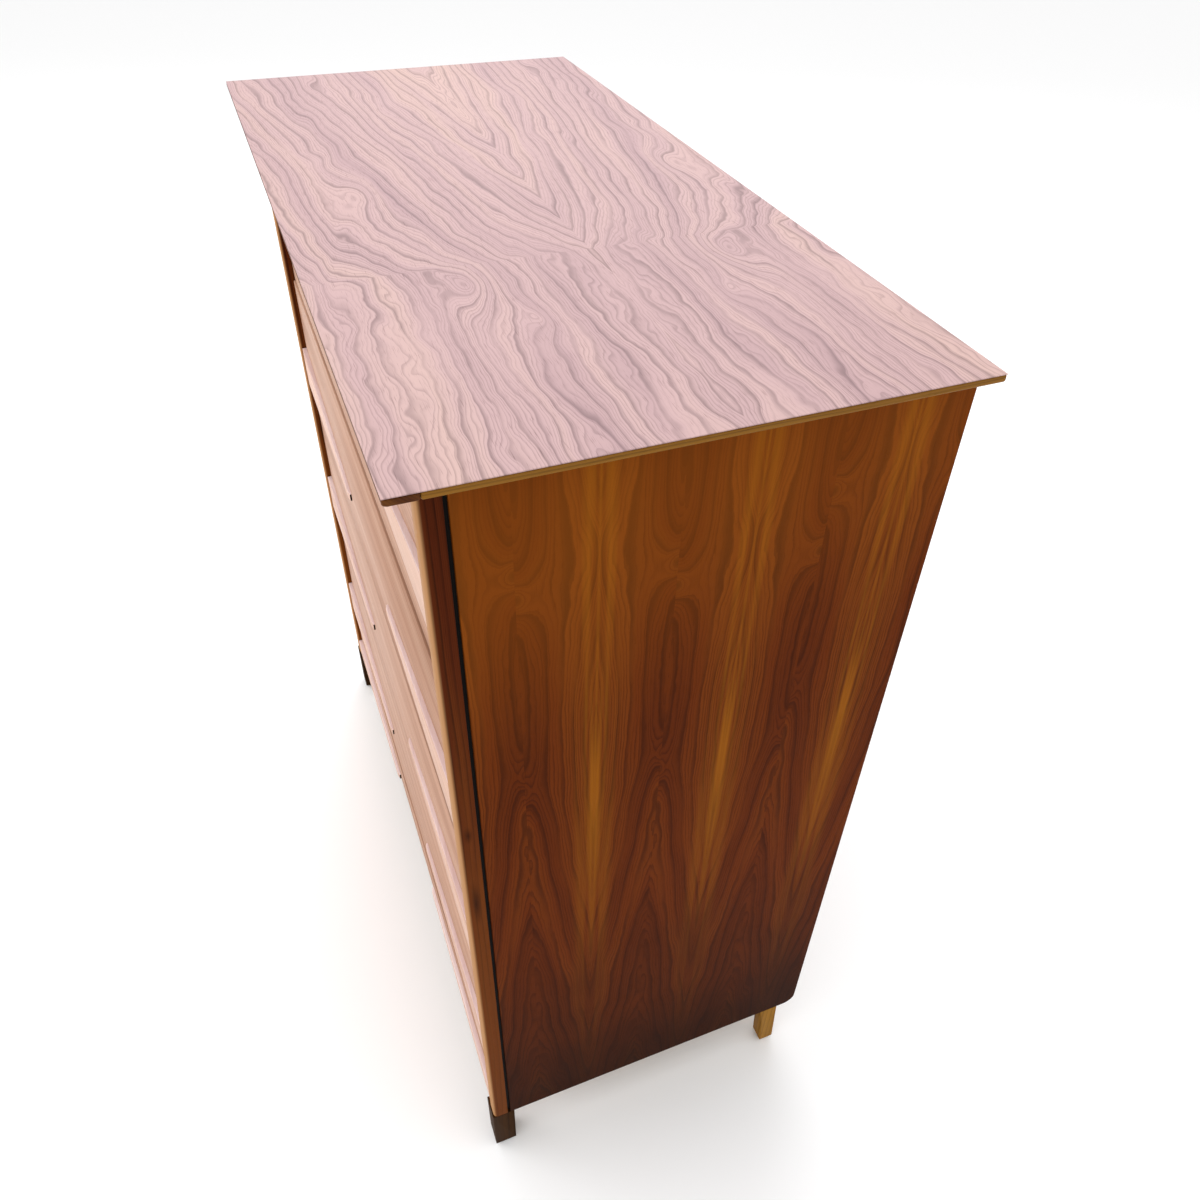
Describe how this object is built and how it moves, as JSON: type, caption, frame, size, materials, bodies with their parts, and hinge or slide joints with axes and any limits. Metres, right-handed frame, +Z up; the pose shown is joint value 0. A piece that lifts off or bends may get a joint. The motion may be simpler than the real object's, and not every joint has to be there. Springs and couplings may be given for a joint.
{
  "type": "dresser with drawers",
  "caption": "Walnut chest of full-width drawers with sculpted wing pulls, book-matched veneer top and sides, short feet and sliding drawers.",
  "frame": {"origin": "on the floor, under the centre of the top", "axes": "+Z up, +X to the right seen from the front, the front faces -Y"},
  "size_m": [0.962, 0.457, 1.081],
  "materials": {
    "walnut_top": "satin lacquer over book-matched walnut veneer",
    "walnut_edge": "satin lacquer, solid walnut",
    "walnut_side": "satin lacquer over book-matched walnut veneer",
    "walnut_post": "satin lacquer, solid walnut",
    "walnut_front": "satin lacquer, walnut veneer",
    "walnut_pull": "satin lacquer, solid walnut",
    "walnut_foot_front": "satin lacquer, solid walnut",
    "walnut_foot_back": "satin lacquer, solid walnut",
    "core_board": "raw core board",
    "secondary_wood": "raw secondary wood",
    "guide_wood": "waxed hardwood",
    "drawer_wood": "clear sealed light wood",
    "drawer_ply": "clear sealed plywood",
    "back_board": "raw hardboard",
    "reveal_black": "flat black stained strip",
    "screw_steel": "plain steel"
  },
  "bodies": {
    "case": {"top_veneer": "walnut_top", "top_core": "core_board", "top_edge_front": "walnut_edge", "top_edge_left": "walnut_edge", "top_edge_right": "walnut_edge", "top_screws": "screw_steel", "top_rail_front": "secondary_wood", "top_rail_back": "secondary_wood", "side_panel_left": "walnut_side", "side_panel_right": "walnut_side", "front_post_left": "walnut_post", "front_post_right": "walnut_post", "reveal_strip_left": "reveal_black", "reveal_strip_right": "reveal_black", "back_panel": "back_board", "back_screws": "screw_steel", "divider_1": "secondary_wood", "divider_2": "secondary_wood", "divider_3": "secondary_wood", "bottom_board": "secondary_wood", "base_rail": "walnut_front", "base_rail_wings": "walnut_pull", "base_rail_back": "secondary_wood", "corner_blocks": "secondary_wood", "center_guides": "guide_wood", "side_guides_left": "guide_wood", "side_guides_right": "guide_wood", "foot_front_left": "walnut_foot_front", "foot_front_right": "walnut_foot_front", "foot_back_left": "walnut_foot_back", "foot_back_right": "walnut_foot_back", "foot_dowels": "guide_wood"},
    "drawer_1": {"drawer_1_front": "walnut_front", "drawer_1_pulls": "walnut_pull", "drawer_1_side_left": "drawer_wood", "drawer_1_side_right": "drawer_wood", "drawer_1_back": "drawer_wood", "drawer_1_bottom": "drawer_ply", "drawer_1_runner": "guide_wood"},
    "drawer_2": {"drawer_2_front": "walnut_front", "drawer_2_pulls": "walnut_pull", "drawer_2_side_left": "drawer_wood", "drawer_2_side_right": "drawer_wood", "drawer_2_back": "drawer_wood", "drawer_2_bottom": "drawer_ply", "drawer_2_runner": "guide_wood"},
    "drawer_3": {"drawer_3_front": "walnut_front", "drawer_3_pulls": "walnut_pull", "drawer_3_side_left": "drawer_wood", "drawer_3_side_right": "drawer_wood", "drawer_3_back": "drawer_wood", "drawer_3_bottom": "drawer_ply", "drawer_3_runner": "guide_wood"},
    "drawer_4": {"drawer_4_front": "walnut_front", "drawer_4_pulls": "walnut_pull", "drawer_4_side_left": "drawer_wood", "drawer_4_side_right": "drawer_wood", "drawer_4_back": "drawer_wood", "drawer_4_bottom": "drawer_ply", "drawer_4_runner": "guide_wood"}
  },
  "joints": [
    {"name": "drawer_1_slide", "type": "slide", "parent": "case", "child": "drawer_1", "axis": [0, -1, 0], "range_m": [0, 0.3]},
    {"name": "drawer_2_slide", "type": "slide", "parent": "case", "child": "drawer_2", "axis": [0, -1, 0], "range_m": [0, 0.3]},
    {"name": "drawer_3_slide", "type": "slide", "parent": "case", "child": "drawer_3", "axis": [0, -1, 0], "range_m": [0, 0.3]},
    {"name": "drawer_4_slide", "type": "slide", "parent": "case", "child": "drawer_4", "axis": [0, -1, 0], "range_m": [0, 0.3]}
  ]
}
